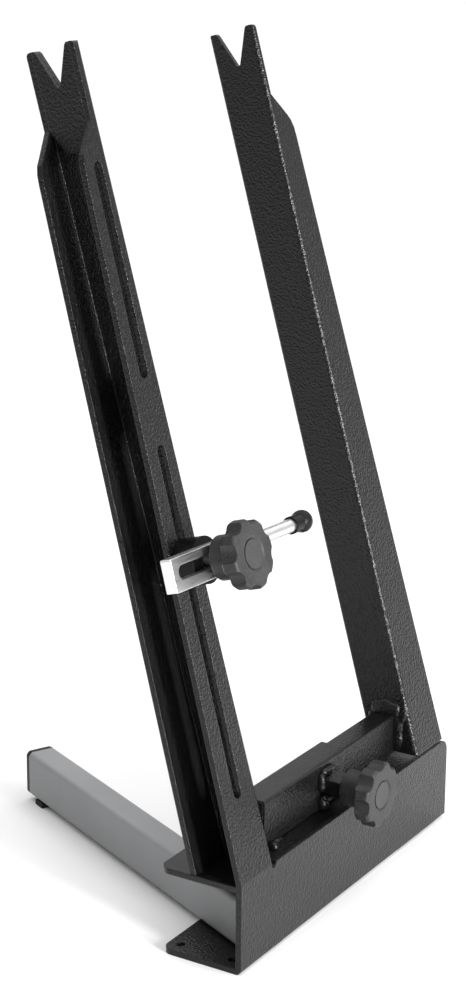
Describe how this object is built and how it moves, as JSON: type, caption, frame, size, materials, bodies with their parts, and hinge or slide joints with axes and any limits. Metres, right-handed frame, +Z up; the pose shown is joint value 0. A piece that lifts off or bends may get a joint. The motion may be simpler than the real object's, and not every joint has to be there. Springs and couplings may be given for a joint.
{
  "type": "bicycle wheel truing stand",
  "caption": "Bench stand that holds a bicycle wheel by its axle between a fixed and a sliding arm, with a rear leg and a rim gauge clamped in a slot.",
  "frame": {"origin": "centre of the four bench screw holes, on the plane that rests on the bench", "axes": "+X along the front plate from the fixed arm towards the sliding arm, +Y backward towards the leg's end, +Z up"},
  "size_m": [0.2398, 0.2326, 0.4348],
  "materials": {
    "black_paint": "black hammered gloss paint",
    "grey_paint": "satin grey paint",
    "bright_steel": "bright zinc-plated steel",
    "black_plastic": "black moulded plastic",
    "cap_plastic": "satin black moulded plastic",
    "black_rubber": "black rubber"
  },
  "bodies": {
    "stand": {"frame_sheet": "black_paint", "notch_plate": "black_paint", "shelf_plate": "black_paint", "outer_tube": "black_paint", "outer_tube_plug": "black_paint", "clamp_nut": "black_paint", "leg_tube": "grey_paint", "leg_end_cap": "black_plastic", "leg_foot": "black_rubber", "leg_screws": "bright_steel", "leg_nuts": "bright_steel"},
    "arm": {"sliding_arm": "black_paint", "inner_tube": "black_paint"},
    "clamp": {"clamp_screw": "bright_steel", "clamp_knob": "black_plastic", "clamp_knob_cap": "cap_plastic"},
    "carriage": {"gauge_bolt": "bright_steel"},
    "swivel": {"gauge_spacer": "black_plastic", "gauge_washer": "black_plastic"},
    "feeler": {"gauge_bar": "bright_steel", "gauge_rod": "bright_steel", "gauge_ball": "black_plastic"},
    "gauge_grip": {"gauge_knob": "black_plastic", "gauge_knob_cap": "cap_plastic"}
  },
  "joints": [
    {"name": "arm_slide", "type": "slide", "parent": "stand", "child": "arm", "axis": [1, 0, 0], "range_m": [-0.054, 0]},
    {"name": "clamp_turn", "type": "hinge", "parent": "stand", "child": "clamp", "pos_m": [0.0012, -0.0239, 0.05975], "axis": [0, -1, 0], "range_deg": [-180, 180]},
    {"name": "gauge_slide", "type": "slide", "parent": "stand", "child": "carriage", "axis": [0.0229, 0.2722, 0.962], "range_m": [-0.093, 0.05]},
    {"name": "gauge_swivel", "type": "hinge", "parent": "carriage", "child": "swivel", "pos_m": [-0.08733, 0.01836, 0.19684], "axis": [0, -0.9622, 0.2723], "range_deg": [-10, 42]},
    {"name": "gauge_reach", "type": "slide", "parent": "swivel", "child": "feeler", "axis": [0.9994, -0.0095, -0.0336], "range_m": [-0.015, 0.025]},
    {"name": "gauge_turn", "type": "hinge", "parent": "carriage", "child": "gauge_grip", "pos_m": [-0.08733, 0.01836, 0.19684], "axis": [0, -0.9622, 0.2723], "range_deg": [-180, 180]}
  ]
}
